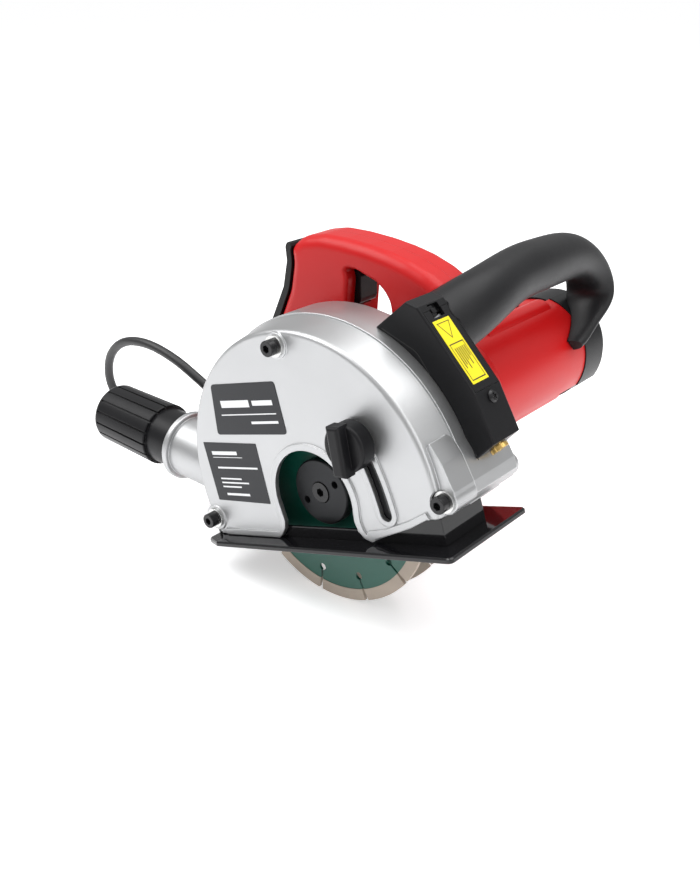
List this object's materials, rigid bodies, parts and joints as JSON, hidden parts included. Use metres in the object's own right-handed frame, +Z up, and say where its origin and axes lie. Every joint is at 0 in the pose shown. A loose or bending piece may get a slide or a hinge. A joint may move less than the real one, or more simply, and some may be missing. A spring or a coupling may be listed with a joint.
{
  "type": "wall chaser",
  "caption": "Twin-disc wall chaser with a swinging base plate, cast guard, dust outlet, gear-coupled motor, rear and front handles, laser guide and supply cord.",
  "frame": {"origin": "on the floor the discs stand on, under the middle of the whole tool's box, cord left out", "axes": "+X forwards in the cutting direction (nose pitched up 18 degrees from it), +Y along the spindle towards the motor, +Z up"},
  "size_m": [0.4177, 0.3535, 0.2149],
  "materials": {
    "cast_guard": "bead-blasted die cast aluminium, raised polished rims",
    "red_plastic": "moulded nylon, satin",
    "black_plastic": "moulded nylon, fine grain",
    "gloss_black": "smooth glossy black coating",
    "black_rubber": "soft overmould, matte",
    "cord_rubber": "rubber sheath, satin",
    "zinc_steel": "zinc-plated steel",
    "dark_steel": "turned steel, lightly oiled",
    "black_steel": "black oxide",
    "disc_green": "green paint on sheet steel",
    "diamond_segment": "sintered diamond segment, matte beige",
    "ground_steel": "ground steel",
    "laminated_steel": "stacked lamination sheets",
    "enamel_copper": "enamelled copper winding",
    "copper": "bare copper bars",
    "carbon": "pressed carbon",
    "brass": "turned brass",
    "cell_jacket": "plain printed jacket, steel end",
    "grey_plastic": "moulded plastic"
  },
  "bodies": {
    "tool": {"guard_cover": "cast_guard", "guard_body": "cast_guard", "guard_screws": "black_steel", "guard_washers": "zinc_steel", "pivot_bolt": "black_steel", "dust_neck": "cast_guard", "front_spindle_bearing": "ground_steel", "rear_spindle_bearing": "ground_steel", "gear_case": "cast_guard", "front_motor_bearing": "ground_steel", "rear_motor_bearing": "ground_steel", "field_stator": "laminated_steel", "field_coils": "enamel_copper", "brush_holders": "brass", "brushes": "carbon", "brush_springs": "ground_steel", "brush_caps": "black_plastic", "motor_housing": "red_plastic", "end_cap": "black_plastic", "handle_near_half": "red_plastic", "handle_far_half": "red_plastic", "rubber_back": "black_rubber", "trigger_pin": "ground_steel", "trigger_spring": "ground_steel", "switch_body": "grey_plastic", "cord_guard": "black_rubber", "spindle_lock_spring": "ground_steel", "front_handle": "black_rubber", "laser_case": "black_plastic", "batteries": "cell_jacket", "laser_module": "brass", "small_screws": "black_steel", "handle_screws": "black_steel", "cord_tube": "cord_rubber", "cord_coil": "cord_rubber", "cord_plug": "black_rubber"},
    "spindle": {"spindle": "ground_steel", "inner_flange": "dark_steel", "spacers": "dark_steel", "disc_cores": "disc_green", "disc_segments": "diamond_segment", "outer_flange": "dark_steel", "arbor_screw": "black_steel", "spindle_gear": "dark_steel"},
    "armature": {"armature_shaft": "ground_steel", "armature_core": "laminated_steel", "armature_windings": "enamel_copper", "commutator": "copper", "fan": "grey_plastic"},
    "base": {"base_plate": "gloss_black", "base_bracket": "gloss_black"},
    "depth_lock": {"depth_knob": "black_plastic", "clamp_bolt": "zinc_steel", "clamp_washer": "zinc_steel"},
    "trigger": {"trigger": "black_plastic"},
    "lock_button": {"lock_button": "black_plastic"},
    "spindle_lock": {"spindle_lock": "black_steel"},
    "laser_switch": {"laser_switch": "black_plastic"},
    "battery_door": {"battery_door": "black_plastic"},
    "dust_sleeve": {"dust_sleeve": "black_plastic"}
  },
  "joints": [
    {"name": "spindle_spin", "type": "hinge", "parent": "tool", "child": "spindle", "pos_m": [0.05501, -0.09306, 0.075], "axis": [0, 1, 0], "continuous": true},
    {"name": "armature_spin", "type": "hinge", "parent": "tool", "child": "armature", "pos_m": [0.07015, 0.04694, 0.10931], "axis": [0, 1, 0], "continuous": true},
    {"name": "base_swing", "type": "hinge", "parent": "tool", "child": "base", "pos_m": [-0.02753, -0.09306, 0.03293], "axis": [0, 1, 0], "range_deg": [0, 16]},
    {"name": "depth_lock_turn", "type": "hinge", "parent": "base", "child": "depth_lock", "pos_m": [0.0941, -0.12806, 0.12526], "axis": [0, 1, 0], "range_deg": [0, 90]},
    {"name": "trigger_pull", "type": "hinge", "parent": "tool", "child": "trigger", "pos_m": [0.01682, -0.03806, 0.18929], "axis": [0, 1, 0], "range_deg": [0, 10], "stiffness_Nm_per_rad": 0.5, "springref_deg": -5.73, "deforming": ["trigger_spring"]},
    {"name": "lock_button_push", "type": "slide", "parent": "tool", "child": "lock_button", "axis": [0, -1, 0], "range_m": [0, 0.0025], "stiffness_N_per_m": 400, "springref_m": -0.002},
    {"name": "spindle_lock_push", "type": "slide", "parent": "tool", "child": "spindle_lock", "axis": [-0.309, 0, 0.9511], "range_m": [0, 0.003], "stiffness_N_per_m": 600, "springref_m": -0.003, "deforming": ["spindle_lock_spring"]},
    {"name": "laser_switch_slide", "type": "slide", "parent": "tool", "child": "laser_switch", "axis": [0, 1, 0], "range_m": [0, 0.0035]},
    {"name": "battery_door_lift", "type": "slide", "parent": "tool", "child": "battery_door", "axis": [0.7114, 0, 0.7028], "range_m": [0, 0.02]},
    {"name": "dust_sleeve_swivel", "type": "hinge", "parent": "tool", "child": "dust_sleeve", "pos_m": [-0.08975, -0.09306, 0.05614], "axis": [-0.9994, 0, 0.0349], "continuous": true}
  ],
  "couplings": [
    {"joint": "armature_spin", "follows": "spindle_spin", "ratio": -4}
  ]
}
